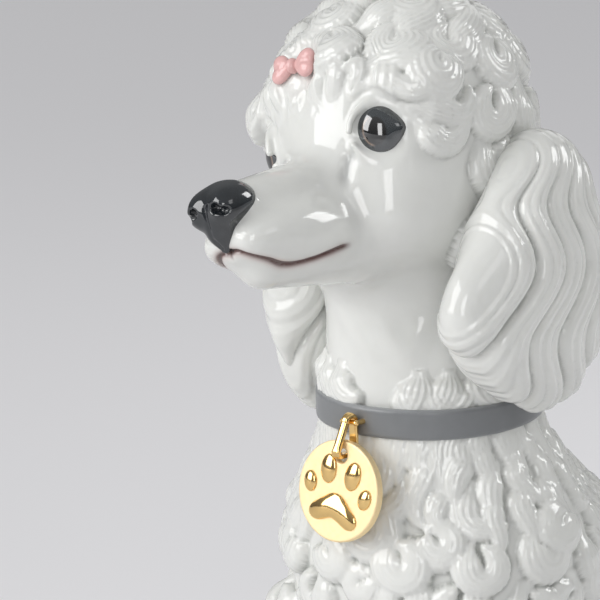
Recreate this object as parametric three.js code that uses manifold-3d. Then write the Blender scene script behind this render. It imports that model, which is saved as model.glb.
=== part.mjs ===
// Seated poodle figurine in glazed porcelain, with a bow on its forehead, a collar and a hanging paw tag.
//
// Units are millimetres. +Z is up, the dog faces -Y, and its left side is +X. The origin is the centre
// of the figurine's bounding box, on the surface that it sits on. The castings are hollow where the
// real ones are slip cast hollow: the body and the head share one cavity through the neck, and the
// body has a vent hole under its seat. The head casting meets the body casting inside the collar.

import * as THREE from "three";
import { mergeVertices } from "three/addons/utils/BufferGeometryUtils.js";
import Module from "manifold-3d";

const wasm = await Module();
wasm.setup();

const { Vector3, Quaternion, Matrix4 } = THREE;
const at = (x, y, z) => new Vector3(x, y, z);

// Driving dimensions
const GAP = 0.3; // left between castings that meet
const WALL = 5; // porcelain wall of the hollow castings
const COLLAR_CENTRE = at(0, -16, 157);
const COLLAR_RADIUS = 28; // outside of the band
const COLLAR_THICKNESS = 2.2;
const COLLAR_HEIGHT = 7.4;
const COLLAR_EDGE = 0.8; // chamfer of its outer edges
const COLLAR_TILT = 3; // degrees, front edge down
const EYE_LINE = at(-4, -47, 222.7); // midpoint between the eyes
const HEAD_TURN = -3; // degrees about +Z, towards the dog's right
const HEAD_TILT = -17; // degrees about +Y, towards the dog's right
const EYE_SPREAD = 16; // from the middle of the head to each eye
const EYE_SPLAY = 46; // degrees, how far each eye faces sideways
const BOW_LEAN = -24; // degrees, how far the bow leans back with the forehead
const HEM = 0; // height of the surface that the dog sits on
const VENT_RADIUS = 4;
const VENT_BACK = 28; // how far back the vent hole is

const TAG_RADIUS = 12.3;
const TAG_THICKNESS = 2.3;
const TAG_LEAN = 8; // degrees, lower edge forward, where it rests on the chest
const TAG_HOLE_RADIUS = 1.8;
const TAG_HOLE_DROP = 3.7; // from the tag's top edge to the middle of its hole
const TAG_CHAMFER = 0.4;
const PAW_TURN = -7; // degrees, how far the paw print is turned on the tag
const PAD_RISE = 1.1; // how far the paw print stands out
const PAD_CLEAR = 0.02; // between the paw print and the face of the disc
// Toe pads of the paw print: name, across, up, half width, half height, and lean in degrees
const TOES = [
  ["toe_pad_outer_right", -8.6, 0.2, 1.9, 2.6, 12],
  ["toe_pad_inner_right", -3.8, 4.6, 2.4, 3.6, 6],
  ["toe_pad_inner_left", 3.8, 4.6, 2.4, 3.6, -6],
  ["toe_pad_outer_left", 8.6, 0.2, 1.9, 2.6, -12],
];
const PIN_RADIUS = 0.65;
const PIN_STAND = 2.6; // from the collar's band to the middle of the staple's pin
const STAPLE_SPREAD = 2.05; // from the middle to each post of the staple
const BAIL_WIDTH = 2.4;
const BAIL_THICKNESS = 1.1;
const BAIL_BEVEL = 0.35;
const BAIL_CORNER = 0.9; // inside radius at its foot
const BAIL_PLAY = 0.35; // between the pin and the inside of the bail
const BAIL_DROP = 7.8; // from the staple's pin down to the middle of the tag's hole
const BAIL_FRONT = 4.3; // from the pin forward to the inside of the bail's foot
const BAIL_BACK = 1.2; // from the pin back to the inside of the bail's foot
const TAG_STAND = 2; // from the pin forward to the middle of the tag's hole

// Materials
const finish = (color, roughness, metalness = 0) =>
  new THREE.MeshStandardMaterial({ color, roughness, metalness });
const WHITE_GLAZE = finish(0xeceee9, 0.08);
const BLACK_GLAZE = finish(0x23282b, 0.1);
const PINK_GLAZE = finish(0xdfa7a3, 0.18);
const GREY_GLAZE = finish(0x8a8c8f, 0.3);
const MATT_GOLD = finish(0xd9a04e, 0.45, 1);
const BRIGHT_GOLD = finish(0xd8ae55, 0.12, 1);

// --- Shapes as fields: functions of a point that are negative inside ---

// An ellipsoid, with an optional turn of its axes.
function ball(centre, radii, turn = new Quaternion()) {
  const back = turn.clone().invert();
  return (point) => {
    const local = point.clone().sub(centre).applyQuaternion(back).divide(radii);
    const scale = local.length();
    return (scale * (scale - 1)) / Math.max(local.divide(radii).length(), 1e-6);
  };
}

// A round limb from a to b, tapering from one radius to the other.
function limb(a, radiusA, b, radiusB) {
  const along = b.clone().sub(a);
  return (point) => {
    const share = THREE.MathUtils.clamp(point.clone().sub(a).dot(along) / along.lengthSq(), 0, 1);
    return point.distanceTo(a.clone().addScaledVector(along, share)) - radiusA - share * (radiusB - radiusA);
  };
}

// Fields melted together, with fillets about as wide as softness.
const melt = (softness, ...fields) => (point) =>
  fields
    .map((field) => field(point))
    .reduce((near, next) => {
      const mixed = Math.max(softness - Math.abs(near - next), 0) / softness;
      return Math.min(near, next) - (mixed * mixed * softness) / 4;
    });

// A field cut off beyond a plane, with the edge rounded.
const trim = (softness, field, place, normal) => (point) =>
  -melt(softness, () => -field(point), () => -point.clone().sub(place).dot(normal))(point);

// --- Solids ---

const REACH = 120; // further than any skin lies from the axis that it is wrapped around
const STEPS = 40;

function solidOf(geometry) {
  const bare = geometry.index ? geometry.toNonIndexed() : geometry.clone();
  const merged = mergeVertices(
    new THREE.BufferGeometry().setAttribute("position", bare.getAttribute("position")),
    1e-4,
  );
  return new wasm.Manifold(
    new wasm.Mesh({
      numProp: 3,
      vertProperties: merged.attributes.position.array,
      triVerts: new Uint32Array(merged.index.array),
    }),
  );
}

// Draws a closed geometry in or out, away from the line from a to b, until it lies on the field's
// surface moved out by grow.
function wrap(geometry, a, b, field, grow = 0) {
  const positions = geometry.getAttribute("position");
  const line = new THREE.Line3(a, b);
  const anchor = new Vector3();
  for (let i = 0; i < positions.count; i++) {
    const direction = new Vector3().fromBufferAttribute(positions, i);
    line.closestPointToPoint(direction, true, anchor);
    direction.sub(anchor).normalize();
    let reach = REACH;
    for (let step = 0; step < STEPS; step++) {
      reach -= 0.8 * (field(anchor.clone().addScaledVector(direction, reach)) - grow);
    }
    positions.setXYZ(i, ...anchor.clone().addScaledVector(direction, reach));
  }
  return solidOf(geometry);
}

// A skin wrapped around a point.
const skinAround = (centre, field, detail, grow) =>
  wrap(
    new THREE.IcosahedronGeometry(1, detail).translate(...centre),
    centre,
    centre,
    field,
    grow,
  );

// A skin wrapped around the line from a to b.
function skinAlong(a, b, field, [caps, rounds, rows], grow) {
  const along = b.clone().sub(a);
  const turn = new Quaternion().setFromUnitVectors(at(0, 1, 0), along.clone().normalize());
  const geometry = new THREE.CapsuleGeometry(1, along.length(), caps, rounds, rows)
    .applyQuaternion(turn)
    .translate(...a.clone().lerp(b, 0.5));
  return wrap(geometry, a, b, field, grow);
}

// Half space below or above a plane through a point, as a big block.
function block(point, normal, above) {
  const side = 400;
  const turn = new Quaternion().setFromUnitVectors(at(0, 0, 1), normal);
  const middle = point.clone().addScaledVector(normal, ((above ? 1 : -1) * side) / 2);
  return solidOf(new THREE.BoxGeometry(side, side, side).applyQuaternion(turn).translate(...middle));
}

// The one piece that is left when a cut leaves crumbs.
const biggest = (solid) =>
  solid.decompose().reduce((best, next) => (next.volume() > best.volume() ? next : best));

// --- The finished group ---

const figurine = new THREE.Group();
const SIDES = [
  ["left", 1],
  ["right", -1],
];

// Adds a group whose own origin and axes are given in the figurine's frame.
function addGroup(parent, position, turn = new Quaternion()) {
  const group = new THREE.Group();
  group.position.copy(position);
  group.quaternion.copy(turn);
  group.updateMatrix();
  group.applyMatrix4(parent.matrixWorld.clone().invert());
  parent.add(group);
  group.updateWorldMatrix(true, false);
  return group;
}

// Adds a solid, made in the figurine's frame, as a named mesh with its origin at its own middle.
function place(name, solid, material, parent = figurine) {
  const { numProp, vertProperties, triVerts } = solid.getMesh();
  const points = new Float32Array((vertProperties.length / numProp) * 3);
  for (let i = 0; i < points.length / 3; i++) {
    points.set(vertProperties.subarray(i * numProp, i * numProp + 3), i * 3);
  }
  const geometry = new THREE.BufferGeometry()
    .setAttribute("position", new THREE.BufferAttribute(points, 3))
    .setIndex(new THREE.BufferAttribute(new Uint32Array(triVerts), 1))
    .applyMatrix4(parent.matrixWorld.clone().invert());
  geometry.computeBoundingBox();
  const middle = geometry.boundingBox.getCenter(new Vector3());
  geometry.translate(...middle.clone().negate());
  geometry.computeVertexNormals();
  const mesh = new THREE.Mesh(geometry, material);
  mesh.name = name;
  mesh.position.copy(middle);
  parent.add(mesh);
}

// --- Where the head is ---

const headTurn = new Quaternion()
  .setFromAxisAngle(at(0, 0, 1), THREE.MathUtils.degToRad(HEAD_TURN))
  .multiply(new Quaternion().setFromAxisAngle(at(0, 1, 0), THREE.MathUtils.degToRad(HEAD_TILT)));
// A point of the head, given from the eye line: to the dog's left, forward and up.
const onHead = (left, forward, up) => at(left, -forward, up).applyQuaternion(headTurn).add(EYE_LINE);
const headBall = (left, forward, up, wide, deep, high) =>
  ball(onHead(left, forward, up), at(wide, deep, high), headTurn);
const headLimb = (a, radiusA, b, radiusB) => limb(onHead(...a), radiusA, onHead(...b), radiusB);

// --- Where the collar is ---

const collarTurn = new Quaternion().setFromAxisAngle(at(1, 0, 0), THREE.MathUtils.degToRad(COLLAR_TILT));
const collarUp = at(0, 0, 1).applyQuaternion(collarTurn);
const collarPoint = (back, up) => at(0, back, up).applyQuaternion(collarTurn).add(COLLAR_CENTRE);

// The band, a closed ring with rounded edges, grown by a margin on every side.
function collarBand(margin) {
  const outside = COLLAR_RADIUS + margin;
  const inside = COLLAR_RADIUS - COLLAR_THICKNESS - margin;
  const half = COLLAR_HEIGHT / 2 + margin;
  const profile = [
    [inside, -half],
    [outside - COLLAR_EDGE, -half],
    [outside, -half + COLLAR_EDGE],
    [outside, half - COLLAR_EDGE],
    [outside - COLLAR_EDGE, half],
    [inside, half],
    [inside, -half],
  ].map(([radius, height]) => new THREE.Vector2(radius, height));
  const lathe = new THREE.LatheGeometry(profile, 40).rotateX(Math.PI / 2);
  return solidOf(lathe.applyQuaternion(collarTurn).translate(...COLLAR_CENTRE));
}

// --- Castings ---

const neckField = limb(collarPoint(0, -9), 26, at(-3, -17, 203), 24);
const bodyField = melt(
  11,
  neckField,
  ball(at(0, -12, 119), at(41, 35, 36)), // chest
  ball(at(0, 8, 94), at(39, 40, 48)), // ribs
  ball(at(0, 26, 44), at(41, 41, 50)), // rump
);
const topknot = headBall(-1, -25, 5, 32, 32, 31);
const headField = melt(
  8,
  topknot,
  headBall(0, -6, -2, 23, 17, 18), // brow
  headBall(12, -10, -17, 13, 19, 15), // cheeks
  headBall(-12, -10, -17, 13, 19, 15),
  headLimb([0, 3, -12], 11, [0, 36, -13], 8), // bridge of the muzzle
  headLimb([0, 4, -22.5], 11.5, [0, 34, -24.3], 7), // jaw
);
const skullField = melt(14, headField, neckField);

const seam = collarPoint(0, 0);
const bodySkin = (grow) =>
  skinAround(at(0, 0, 88), bodyField, 6, grow)
    .intersect(block(seam, collarUp, false))
    .intersect(block(at(0, 0, HEM), at(0, 0, 1), true));
const skullSkin = (grow) =>
  skinAround(at(-5, -24, 218), skullField, 7, grow).intersect(
    block(seam.clone().addScaledVector(collarUp, GAP), collarUp, true),
  );
const cavityAround = (centre, field) => skinAround(centre, field, 3, -WALL);

const collarGroove = collarBand(GAP);
const ventHole = solidOf(
  new THREE.CylinderGeometry(VENT_RADIUS, VENT_RADIUS, 40, 20).rotateX(Math.PI / 2).translate(0, VENT_BACK, 0),
);
const bodyGrown = bodySkin(GAP);
const skullGrown = skullSkin(GAP);

place(
  "body",
  bodySkin(0)
    .subtract(collarGroove)
    .subtract(cavityAround(at(0, 0, 90), bodyField))
    .subtract(ventHole),
  WHITE_GLAZE,
);

// The eyes and the nose stand in hollows of the head.
const eyeCentre = (side) => onHead(side * EYE_SPREAD, 1.9, 0);
const eyeTurn = (side) =>
  headTurn
    .clone()
    .multiply(new Quaternion().setFromAxisAngle(at(0, 0, 1), side * THREE.MathUtils.degToRad(EYE_SPLAY)));
const eyeField = (side) => ball(eyeCentre(side), at(6.1, 3.8, 6), eyeTurn(side));
const eyeSkin = (side, grow) => skinAround(eyeCentre(side), eyeField(side), 3, grow);
const noseCentre = onHead(0, 41.5, -11);
const noseField = melt(
  2,
  headBall(0, 41.5, -10, 8, 7, 6.3),
  headBall(0, 41.5, -14.5, 4.6, 4.6, 6),
);
const noseSkin = (grow) => skinAround(noseCentre, noseField, 3, grow);

const headGroup = addGroup(figurine, EYE_LINE, headTurn);
place(
  "head",
  skullSkin(0)
    .subtract(collarGroove)
    .subtract(cavityAround(at(-5, -22, 214), melt(14, topknot, neckField)))
    .subtract(eyeSkin(1, GAP))
    .subtract(eyeSkin(-1, GAP))
    .subtract(noseSkin(GAP)),
  WHITE_GLAZE,
  headGroup,
);
place("eye_left", eyeSkin(1), BLACK_GLAZE, headGroup);
place("eye_right", eyeSkin(-1), BLACK_GLAZE, headGroup);
place("nose", noseSkin(), BLACK_GLAZE, headGroup);

place("collar", collarBand(0), GREY_GLAZE);

// Long ears, hanging from each side of the tilted head. The left one's lower edge slants down to the back.
const leftEarField = trim(
  6,
  melt(
    10,
    ball(at(30, -13, 214), at(9, 11, 13)),
    ball(at(33, -17, 200), at(9, 19, 22)),
    ball(at(35, -24, 181), at(9.5, 27.5, 23.5)),
  ),
  at(35, -32, 165.6),
  at(0, -0.6, -0.8),
);
const rightEarField = melt(
  10,
  ball(at(-32, -20, 211), at(8, 11, 13)),
  ball(at(-34, -16, 190), at(8.5, 17, 22)),
  ball(at(-33, -12, 169), at(8.5, 23, 21)),
);
const ear = (top, bottom, field) =>
  skinAlong(top, bottom, field, [3, 14, 8])
    .subtract(skullGrown)
    .subtract(bodyGrown)
    .subtract(collarGroove);
const leftEar = ear(at(31, -14, 211), at(35, -22, 172), leftEarField);
const rightEar = ear(at(-33, -19, 208), at(-33, -13, 162), rightEarField);
place("ear_left", biggest(leftEar), WHITE_GLAZE, headGroup);
place("ear_right", biggest(rightEar), WHITE_GLAZE, headGroup);

// Legs: straight in front, folded behind. Each ends in a paw that lies flat.
const foreField = (side) =>
  melt(
    5,
    limb(at(side * 23, -22, 98), 18, at(side * 21, -33, 52), 15),
    limb(at(side * 21, -33, 52), 15, at(side * 21, -38, 16), 16.5), // curly cuff
    ball(at(side * 21, -53, 8), at(11.5, 16, 9)), // paw
  );
const foreSkin = (side, grow) =>
  skinAlong(at(side * 23, -26, 96), at(side * 21, -42, 10), foreField(side), [3, 14, 8], grow);
const hindField = (side) =>
  melt(
    6,
    ball(at(side * 37, 20, 42), at(20, 36, 37)), // thigh
    limb(at(side * 42, 34, 13), 15, at(side * 41, -4, 12), 13.5), // foot
    ball(at(side * 41, -24, 8), at(11.5, 16, 9)), // paw
  );
const hindSkin = (side, grow) =>
  skinAlong(at(side * 38, 24, 30), at(side * 40, -10, 16), hindField(side), [5, 14, 5], grow);
const ground = block(at(0, 0, HEM), at(0, 0, 1), true);
const tailField = melt(
  4,
  limb(at(0, 58, 22), 8, at(0, 78, 30), 7),
  ball(at(0, 84, 44), at(16, 15, 17)), // pompom
);

for (const [name, side] of SIDES) {
  const foreleg = foreSkin(side, 0).intersect(ground).subtract(bodyGrown);
  const hindLeg = hindSkin(side, 0)
    .intersect(ground)
    .subtract(bodyGrown)
    .subtract(foreSkin(side, GAP));
  place("foreleg_" + name, biggest(foreleg), WHITE_GLAZE);
  place("hind_leg_" + name, biggest(hindLeg), WHITE_GLAZE);
}
place(
  "tail",
  biggest(skinAlong(at(0, 64, 25), at(0, 84, 42), tailField, [4, 12, 2]).subtract(bodyGrown)),
  WHITE_GLAZE,
);

// Bow: two loops and a knot, pressed onto the forehead curls.
const bowCentre = onHead(-3, 5, 19.5);
const bowTurn = headTurn
  .clone()
  .multiply(new Quaternion().setFromAxisAngle(at(1, 0, 0), THREE.MathUtils.degToRad(BOW_LEAN)));
const onBow = (left, forward, up) => at(left, -forward, up).applyQuaternion(bowTurn).add(bowCentre);
const bowLoop = (side) => {
  const middle = onBow(side * 3.9, 0.4, 0);
  const loop = melt(
    1.5,
    ball(onBow(side * 4.4, 0.4, 1.4), at(2.6, 1.7, 2.1), bowTurn),
    ball(onBow(side * 4.4, 0.4, -1.4), at(2.6, 1.7, 2.1), bowTurn),
    ball(onBow(side * 2.6, 0.4, 0), at(1.8, 1.5, 1.7), bowTurn),
  );
  return skinAround(middle, loop, 2);
};
const knot = (grow) =>
  skinAround(onBow(0, 0.8, 0), ball(onBow(0, 0.8, 0), at(1.5, 1.9, 1.9), bowTurn), 2, grow);
const bowGroup = addGroup(headGroup, bowCentre, bowTurn);
for (const [name, side] of SIDES) {
  const loop = bowLoop(side).subtract(knot(GAP)).subtract(skullGrown);
  place("bow_loop_" + name, biggest(loop), PINK_GLAZE, bowGroup);
}
place("bow_knot", biggest(knot(0).subtract(skullGrown)), PINK_GLAZE, bowGroup);

// --- Hanging tag: a staple on the collar, a bail on its pin, and the tag on the bail ---

const pin = collarPoint(-(COLLAR_RADIUS + PIN_STAND), 0.4);
const hole = pin.clone().add(at(0, -TAG_STAND, -BAIL_DROP));

// A cylinder along X or Y.
function rod(radius, length, centre, alongX) {
  const cylinder = new THREE.CylinderGeometry(radius, radius, length, 12);
  if (alongX) cylinder.rotateZ(Math.PI / 2);
  return solidOf(cylinder.translate(...centre));
}
const post = (side) =>
  rod(PIN_RADIUS, PIN_STAND + 1, pin.clone().add(at(side * STAPLE_SPREAD, PIN_STAND / 2 + 0.5, 0)), false);
const bandCore = solidOf(
  new THREE.CylinderGeometry(COLLAR_RADIUS + 0.05, COLLAR_RADIUS + 0.05, 20, 80)
    .rotateX(Math.PI / 2)
    .applyQuaternion(collarTurn)
    .translate(...COLLAR_CENTRE),
);
const staple = rod(PIN_RADIUS, 2 * STAPLE_SPREAD + 1.2, pin, true).add(post(1)).add(post(-1));
place("tag_staple", staple.subtract(bandCore), MATT_GOLD);

// The bail is a drop-shaped loop in the plane across the pin: narrow over the pin, wide at its foot,
// with an upright back leg and a front leg that slants forward.
function dropOutline(shape, offset) {
  const top = PIN_RADIUS + BAIL_PLAY + offset;
  const front = BAIL_FRONT + offset;
  const back = BAIL_BACK + offset;
  const foot = BAIL_DROP - BAIL_THICKNESS / 2 + offset;
  const corner = BAIL_CORNER + offset * 0.6;
  shape.moveTo(top, 0);
  shape.absarc(0, 0, top, 0, Math.PI, false);
  shape.lineTo(-front, -foot + corner);
  shape.quadraticCurveTo(-front, -foot, -front + corner, -foot);
  shape.lineTo(back - corner, -foot);
  shape.quadraticCurveTo(back, -foot, back, -foot + corner);
  shape.closePath();
  return shape;
}
const bailShape = dropOutline(new THREE.Shape(), BAIL_THICKNESS);
bailShape.holes.push(dropOutline(new THREE.Path(), 0));
const bail = new THREE.ExtrudeGeometry(bailShape, {
  depth: BAIL_WIDTH - 2 * BAIL_BEVEL,
  bevelSize: BAIL_BEVEL,
  bevelOffset: -BAIL_BEVEL,
  bevelThickness: BAIL_BEVEL,
  bevelSegments: 1,
  curveSegments: 6,
});
// The outline's x runs along world Y, its y along Z, and its depth along X.
bail.translate(0, 0, -BAIL_WIDTH / 2 + BAIL_BEVEL);
bail.applyMatrix4(new Matrix4().makeBasis(at(0, 1, 0), at(0, 0, 1), at(1, 0, 0)));
const bailGroup = addGroup(figurine, pin);
place("tag_bail", solidOf(bail.translate(...pin)), BRIGHT_GOLD, bailGroup);

// The tag's own frame has its origin in the hole and Y through the disc.
const tagTurn = new Quaternion().setFromAxisAngle(at(1, 0, 0), THREE.MathUtils.degToRad(-TAG_LEAN));
const tagGroup = addGroup(bailGroup, hole, tagTurn);
const tagFront = TAG_THICKNESS / 2;
const tagProfile = [
  [0, -tagFront],
  [TAG_RADIUS - TAG_CHAMFER, -tagFront],
  [TAG_RADIUS, -tagFront + TAG_CHAMFER],
  [TAG_RADIUS, tagFront - TAG_CHAMFER],
  [TAG_RADIUS - TAG_CHAMFER, tagFront],
  [0, tagFront],
].map(([radius, height]) => new THREE.Vector2(radius, height));
const tagMiddle = at(0, 0, TAG_HOLE_DROP - TAG_RADIUS);
const disc = new THREE.LatheGeometry(tagProfile, 40).translate(...tagMiddle);
const drill = new THREE.CylinderGeometry(TAG_HOLE_RADIUS, TAG_HOLE_RADIUS, 10, 20);
const seat = (geometry) => solidOf(geometry.applyQuaternion(tagTurn).translate(...hole));
place("tag_disc", seat(disc).subtract(seat(drill)), MATT_GOLD, tagGroup);

const pawTurn = new Quaternion().setFromAxisAngle(at(0, 1, 0), THREE.MathUtils.degToRad(-PAW_TURN));
const onTag = (across, up) =>
  at(across, 0, up)
    .applyQuaternion(pawTurn)
    .add(tagMiddle)
    .add(at(0, -tagFront - PAD_CLEAR, 0))
    .applyQuaternion(tagTurn)
    .add(hole);
const faceSide = block(onTag(0, 0), at(0, -1, 0).applyQuaternion(tagTurn), true);
const pad = (across, up, halfWidth, halfHeight, lean) => {
  const turn = new Quaternion().setFromAxisAngle(at(0, 1, 0), THREE.MathUtils.degToRad(-lean));
  return ball(
    onTag(across, up),
    at(halfWidth, PAD_RISE, halfHeight),
    tagTurn.clone().multiply(pawTurn).multiply(turn),
  );
};
for (const [name, across, up, ...shape] of TOES) {
  const toe = skinAround(onTag(across, up), pad(across, up, ...shape), 2);
  place(name, toe.intersect(faceSide), BRIGHT_GOLD, tagGroup);
}
const heel = melt(
  2.5,
  pad(0, -3.5, 3.6, 3, 0),
  pad(-4.4, -5.8, 3.2, 2.4, 24),
  pad(4.4, -5.8, 3.2, 2.4, -24),
);
place("paw_pad", skinAround(onTag(0, -4), heel, 4).intersect(faceSide), BRIGHT_GOLD, tagGroup);

// The origin is the middle of the bounding box, at its base.
const box = new THREE.Box3().setFromObject(figurine, true);
figurine.position.set(-(box.min.x + box.max.x) / 2, -(box.min.y + box.max.y) / 2, -box.min.z);

export default figurine;
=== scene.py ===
import math

import bpy
import numpy as np
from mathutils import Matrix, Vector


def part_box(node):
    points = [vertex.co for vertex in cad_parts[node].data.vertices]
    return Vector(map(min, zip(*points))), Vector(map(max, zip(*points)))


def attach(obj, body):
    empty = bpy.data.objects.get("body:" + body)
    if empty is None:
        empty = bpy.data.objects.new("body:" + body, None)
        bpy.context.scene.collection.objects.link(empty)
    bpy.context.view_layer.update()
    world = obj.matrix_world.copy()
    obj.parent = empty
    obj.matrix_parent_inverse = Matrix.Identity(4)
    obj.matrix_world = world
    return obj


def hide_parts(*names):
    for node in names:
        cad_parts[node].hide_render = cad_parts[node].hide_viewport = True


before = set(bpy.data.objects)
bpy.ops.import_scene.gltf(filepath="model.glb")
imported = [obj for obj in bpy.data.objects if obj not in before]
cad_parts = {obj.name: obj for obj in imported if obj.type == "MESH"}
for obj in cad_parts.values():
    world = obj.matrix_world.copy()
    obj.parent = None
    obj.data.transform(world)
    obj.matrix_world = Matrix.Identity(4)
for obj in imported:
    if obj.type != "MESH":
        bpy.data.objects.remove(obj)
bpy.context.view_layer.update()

import openvdb
from mathutils import Matrix, Vector

# Seated poodle in glazed porcelain. The sculpted coat, face and ornaments are made here around the
# packed castings. Shapes are worked out in millimetres, in the figurine's own frame, and made in metres.

MM = 0.001
TAU = 2 * math.pi


def vec(*numbers):
    return np.array(numbers, float)


def box_mm(node):
    low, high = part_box(node)
    return np.array(low) / MM, np.array(high) / MM


def middle_mm(node):
    low, high = box_mm(node)
    return (low + high) / 2


# --- The figurine's own frame: millimetres, with the collar's middle at COLLAR ---

COLLAR = vec(0, -16, 157)
HERE = middle_mm("collar") - COLLAR
COLLAR_RADIUS = 28.0
COLLAR_THICKNESS = 2.2
COLLAR_HEIGHT = 7.4
COLLAR_TILT = math.radians(3)
EYE_LINE = vec(-4, -47, 222.7)
HEAD_TURN = math.radians(-3)
HEAD_TILT = math.radians(-17)
EYE_SPREAD = 16.0
EYE_SPLAY = math.radians(46)


def turn_about(axis, angle):
    return np.array(Matrix.Rotation(angle, 3, axis))


HEAD = turn_about("Z", HEAD_TURN) @ turn_about("Y", HEAD_TILT)
BAND = turn_about("X", COLLAR_TILT)


def on_head(left, forward, up):
    return EYE_LINE + HEAD @ vec(left, -forward, up)


def head_axes(points):
    """How far points lie left, forward and up from the middle of the eye line."""
    local = (points - EYE_LINE) @ HEAD
    return local[:, 0], -local[:, 1], local[:, 2]


# --- Camera, floor and lights ---

VIEW_AZIMUTH = math.radians(41)
VIEW_ELEVATION = math.radians(11)
VIEW_DISTANCE = 900.0
VIEW_WIDTH = 146.9
VIEW_CENTRE = COLLAR + vec(-27.0, -17.5, 23.1)


def toward(azimuth, elevation):
    return vec(
        math.sin(azimuth) * math.cos(elevation),
        -math.cos(azimuth) * math.cos(elevation),
        math.sin(elevation),
    )


def aim(thing, place, target):
    thing.location = Vector((place + HERE) * MM)
    direction = Vector(target - place)
    thing.rotation_mode = "QUATERNION"
    thing.rotation_quaternion = direction.to_track_quat("-Z", "Y")
    bpy.context.scene.collection.objects.link(thing)


camera = bpy.data.objects.new("camera", bpy.data.cameras.new("camera"))
camera.data.sensor_width = 36
camera.data.lens = camera.data.sensor_width * VIEW_DISTANCE / VIEW_WIDTH
camera.data.clip_start = 0.01
camera.data.clip_end = 50
aim(camera, VIEW_CENTRE + VIEW_DISTANCE * toward(VIEW_AZIMUTH, VIEW_ELEVATION), VIEW_CENTRE)
bpy.context.scene.camera = camera


def softbox(name, azimuth, elevation, distance, wide, high, brightness):
    """A rectangular light that faces the figurine. brightness is what its reflection shows."""
    light = bpy.data.lights.new(name, "AREA")
    light.shape = "RECTANGLE"
    light.size = wide * MM
    light.size_y = high * MM
    light.energy = math.pi * light.size * light.size_y * brightness
    lamp = bpy.data.objects.new(name, light)
    lamp.visible_camera = False
    where = VIEW_CENTRE + distance * toward(math.radians(azimuth), math.radians(elevation))
    aim(lamp, where, VIEW_CENTRE)


softbox("key", -26, 27, 13200, 9600, 10400, 4.8)
softbox("window_tall", 41, 18, 900, 220, 520, 4.5)
softbox("window_right", 84, 34, 900, 240, 260, 1.5)
softbox("window_back", 142, 31, 1000, 300, 420, 7.0)
softbox("rim_back", 195, 30, 1100, 400, 500, 1.0)


def make_material(name):
    material = bpy.data.materials.new(name)
    material.use_nodes = True
    tree = material.node_tree
    return material, tree, tree.nodes["Principled BSDF"]


def set_inputs(node, **values):
    for key, value in values.items():
        node.inputs[key.replace("_", " ")].default_value = value


# The studio is brightest overhead and darker towards the horizon.
HORIZON_LIGHT = 0.14
ZENITH_LIGHT = 0.36
world = bpy.data.worlds.new("studio")
world.use_nodes = True
sky = world.node_tree
upward = sky.nodes.new("ShaderNodeTexCoord")
split = sky.nodes.new("ShaderNodeSeparateXYZ")
fade_up = sky.nodes.new("ShaderNodeMapRange")
set_inputs(fade_up, From_Min=0.0, From_Max=0.75, To_Min=HORIZON_LIGHT, To_Max=ZENITH_LIGHT)
sky.links.new(upward.outputs["Generated"], split.inputs[0])
sky.links.new(split.outputs["Z"], fade_up.inputs["Value"])
sky.links.new(fade_up.outputs["Result"], sky.nodes["Background"].inputs["Strength"])
sky.nodes["Background"].inputs["Color"].default_value = (0.98, 0.985, 1.0, 1)
bpy.context.scene.world = world
bpy.context.scene.view_settings.view_transform = "Standard"

FLOOR_SIDE = 24.0
floor_mesh = bpy.data.meshes.new("floor")
half = FLOOR_SIDE / 2
floor_mesh.from_pydata(
    [(-half, -half, 0), (half, -half, 0), (half, half, 0), (-half, half, 0)], [], [(0, 1, 2, 3)]
)
floor = bpy.data.objects.new("floor", floor_mesh)
bpy.context.scene.collection.objects.link(floor)
floor_paint, _, shader = make_material("floor_paint")
set_inputs(shader, Base_Color=(0.84, 0.835, 0.85, 1), Roughness=0.7)
floor_mesh.materials.append(floor_paint)


# --- Shapes as fields: functions of points that are negative inside ---


def ball(centre, radii, axes=None):
    centre = np.asarray(centre, float)
    radii = np.asarray(radii, float)

    def field(points):
        local = points - centre
        if axes is not None:
            local = local @ axes
        local = local / radii
        scale = np.sqrt((local**2).sum(1))
        slope = np.sqrt(((local / radii) ** 2).sum(1))
        return scale * (scale - 1) / np.maximum(slope, 1e-6)

    return field


def limb(a, radius_a, b, radius_b):
    a = np.asarray(a, float)
    along = np.asarray(b, float) - a

    def field(points):
        local = points - a
        share = np.clip(local @ along / (along @ along), 0, 1)
        offset = local - share[:, None] * along
        return np.sqrt((offset**2).sum(1)) - radius_a - share * (radius_b - radius_a)

    return field


def soft_min(softness, a, b):
    mixed = np.maximum(softness - np.abs(a - b), 0) / softness
    return np.minimum(a, b) - mixed**2 * softness / 4


def melt(softness, *fields):
    def field(points):
        value = fields[0](points)
        for other in fields[1:]:
            value = soft_min(softness, value, other(points))
        return value

    return field


def carve(softness, field, tool):
    return lambda points: -soft_min(softness, -field(points), tool(points))


def below(point, normal):
    """Half space on the far side of a plane from its normal."""
    return lambda points: (points - point) @ normal


def both(field, other, softness=0.2):
    return lambda points: -soft_min(softness, -field(points), -other(points))


def head_ball(left, forward, up, wide, deep, high):
    return ball(on_head(left, forward, up), (wide, deep, high), HEAD)


def head_pair(left, *rest):
    """The same ball on the left and on the right."""
    return head_ball(left, *rest), head_ball(-left, *rest)


def head_limb(a, radius_a, b, radius_b):
    return limb(on_head(*a), radius_a, on_head(*b), radius_b)


SLOPE_STEP = 0.2


def slope_of(field, points):
    """Unit outward normals of the field, by differences towards the corners of a tetrahedron."""
    total = np.zeros_like(points)
    for corner in ((1, 1, 1), (1, -1, -1), (-1, 1, -1), (-1, -1, 1)):
        corner = vec(*corner)
        total += corner * field(points + corner * SLOPE_STEP)[:, None]
    length = np.sqrt((total**2).sum(1))
    return total / np.maximum(length, 1e-9)[:, None]


# --- Skins: closed meshes of a field's surface ---


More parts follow.
